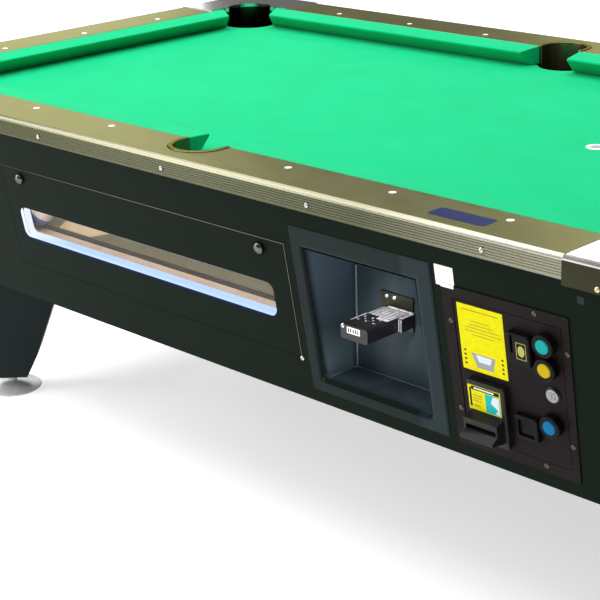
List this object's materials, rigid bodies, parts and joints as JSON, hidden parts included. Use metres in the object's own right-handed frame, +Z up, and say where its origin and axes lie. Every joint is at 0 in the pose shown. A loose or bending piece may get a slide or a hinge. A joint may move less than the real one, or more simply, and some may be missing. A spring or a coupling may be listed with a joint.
{
  "type": "coin-operated pool table",
  "caption": "Pub pool table with slate bed, leaning cabinet on splayed corner legs, lit ball window, push-in coin slide and a hinged pay door for notes and coins.",
  "frame": {"origin": "on the floor, under the middle of the table", "axes": "+X along the length, the coin side faces -Y, +Z up"},
  "size_m": [2.2936, 1.3284, 0.802],
  "materials": {
    "slate": "honed grey slate",
    "cloth": "napped bright green billiard cloth",
    "rail_laminate": "olive bronze laminate on board",
    "trim_aluminium": "fluted champagne anodised extrusion",
    "polished_casting": "polished casting",
    "bronze": "dark bronze, worn at the lip",
    "dark_laminate": "green-black satin laminate on board",
    "pine": "bare softwood",
    "beech": "lacquered beech ply",
    "zinc": "zinc-plated steel",
    "chrome": "bright chrome",
    "sheet_steel": "galvanised sheet",
    "slide_metal": "satin black enamel",
    "pay_metal": "fine textured brown-black powder coat",
    "recess_plastic": "glossy blue-black moulding",
    "black_plastic": "satin black moulding",
    "clear_pane": "clear pane",
    "light_diffuser": "milky diffuser lit cold white",
    "lens_green": "translucent teal lens",
    "lens_yellow": "translucent yellow lens",
    "lens_blue": "translucent blue lens"
  },
  "bodies": {
    "table": {"slate_bed": "slate", "bed_cloth": "cloth", "top_rail": "rail_laminate", "cushion_front_left": "cloth", "cushion_front_right": "cloth", "cushion_back_left": "cloth", "cushion_back_right": "cloth", "cushion_end_left": "cloth", "cushion_end_right": "cloth", "side_pocket_liner_front": "bronze", "side_pocket_liner_back": "bronze", "corner_cap_front_left": "polished_casting", "corner_cap_front_right": "polished_casting", "corner_cap_back_left": "polished_casting", "corner_cap_back_right": "polished_casting", "edge_trim_front": "trim_aluminium", "edge_trim_back": "trim_aluminium", "edge_trim_left": "trim_aluminium", "edge_trim_right": "trim_aluminium", "cabinet_front": "dark_laminate", "cabinet_back": "dark_laminate", "cabinet_end_left": "dark_laminate", "cabinet_end_right": "dark_laminate", "cabinet_floor": "dark_laminate", "slate_frame": "pine", "leg_front_left": "dark_laminate", "leg_front_right": "dark_laminate", "leg_back_left": "dark_laminate", "leg_back_right": "dark_laminate", "ball_door": "dark_laminate", "window_pane": "clear_pane", "light_strip": "light_diffuser", "door_knob_left": "chrome", "door_knob_right": "chrome", "ball_tray": "beech", "ball_gully": "pine", "coin_recess": "recess_plastic", "coin_mechanism": "chrome", "cash_box": "sheet_steel", "pay_frame": "pay_metal", "cue_ball_cup": "black_plastic"},
    "coin_slide": {"coin_slide": "slide_metal"},
    "ball_gate": {"ball_gate": "sheet_steel"},
    "pay_door": {"pay_door": "pay_metal", "note_acceptor": "black_plastic", "coin_acceptor": "black_plastic", "coin_return_cup": "black_plastic", "button_green_barrel": "black_plastic", "button_yellow_barrel": "black_plastic", "button_blue_barrel": "black_plastic", "lock_barrel": "chrome"},
    "button_green": {"button_green": "lens_green"},
    "button_yellow": {"button_yellow": "lens_yellow"},
    "button_blue": {"button_blue": "lens_blue"},
    "lock_plug": {"lock_plug": "chrome"},
    "coin_return_flap": {"coin_return_flap": "black_plastic"},
    "leveller_front_left": {"leveller_front_left": "zinc"},
    "leveller_front_right": {"leveller_front_right": "zinc"},
    "leveller_back_left": {"leveller_back_left": "zinc"},
    "leveller_back_right": {"leveller_back_right": "zinc"}
  },
  "joints": [
    {"name": "coin_slide_push", "type": "slide", "parent": "table", "child": "coin_slide", "axis": [0, 1, 0], "range_m": [0, 0.07]},
    {"name": "ball_gate_swing", "type": "hinge", "parent": "table", "child": "ball_gate", "pos_m": [-0.415, -0.48956, 0.6274], "axis": [1, 0, 0], "range_deg": [0, 60]},
    {"name": "pay_door_swing", "type": "hinge", "parent": "table", "child": "pay_door", "pos_m": [0.6633, -0.59567, 0.42922], "axis": [0, 0.169, -0.9856], "range_deg": [0, 100]},
    {"name": "button_green_press", "type": "slide", "parent": "pay_door", "child": "button_green", "axis": [0, 0.9856, 0.169], "range_m": [0, 0.004], "stiffness_N_per_m": 300},
    {"name": "button_yellow_press", "type": "slide", "parent": "pay_door", "child": "button_yellow", "axis": [0, 0.9856, 0.169], "range_m": [0, 0.004], "stiffness_N_per_m": 300},
    {"name": "button_blue_press", "type": "slide", "parent": "pay_door", "child": "button_blue", "axis": [0, 0.9856, 0.169], "range_m": [0, 0.004], "stiffness_N_per_m": 300},
    {"name": "lock_turn", "type": "hinge", "parent": "pay_door", "child": "lock_plug", "pos_m": [0.8437, -0.62365, 0.5551], "axis": [0, -0.9856, -0.169], "range_deg": [0, 90]},
    {"name": "coin_return_flap_swing", "type": "hinge", "parent": "pay_door", "child": "coin_return_flap", "pos_m": [0.792, -0.61448, 0.4957], "axis": [1, 0, 0], "range_deg": [0, 60]},
    {"name": "leveller_front_left_screw", "type": "slide", "parent": "table", "child": "leveller_front_left", "axis": [0, 0, -1], "range_m": [0, 0.03]},
    {"name": "leveller_front_right_screw", "type": "slide", "parent": "table", "child": "leveller_front_right", "axis": [0, 0, -1], "range_m": [0, 0.03]},
    {"name": "leveller_back_left_screw", "type": "slide", "parent": "table", "child": "leveller_back_left", "axis": [0, 0, -1], "range_m": [0, 0.03]},
    {"name": "leveller_back_right_screw", "type": "slide", "parent": "table", "child": "leveller_back_right", "axis": [0, 0, -1], "range_m": [0, 0.03]}
  ],
  "couplings": [
    {"joint": "ball_gate_swing", "follows": "coin_slide_push", "rad_per_m": 14.9}
  ]
}
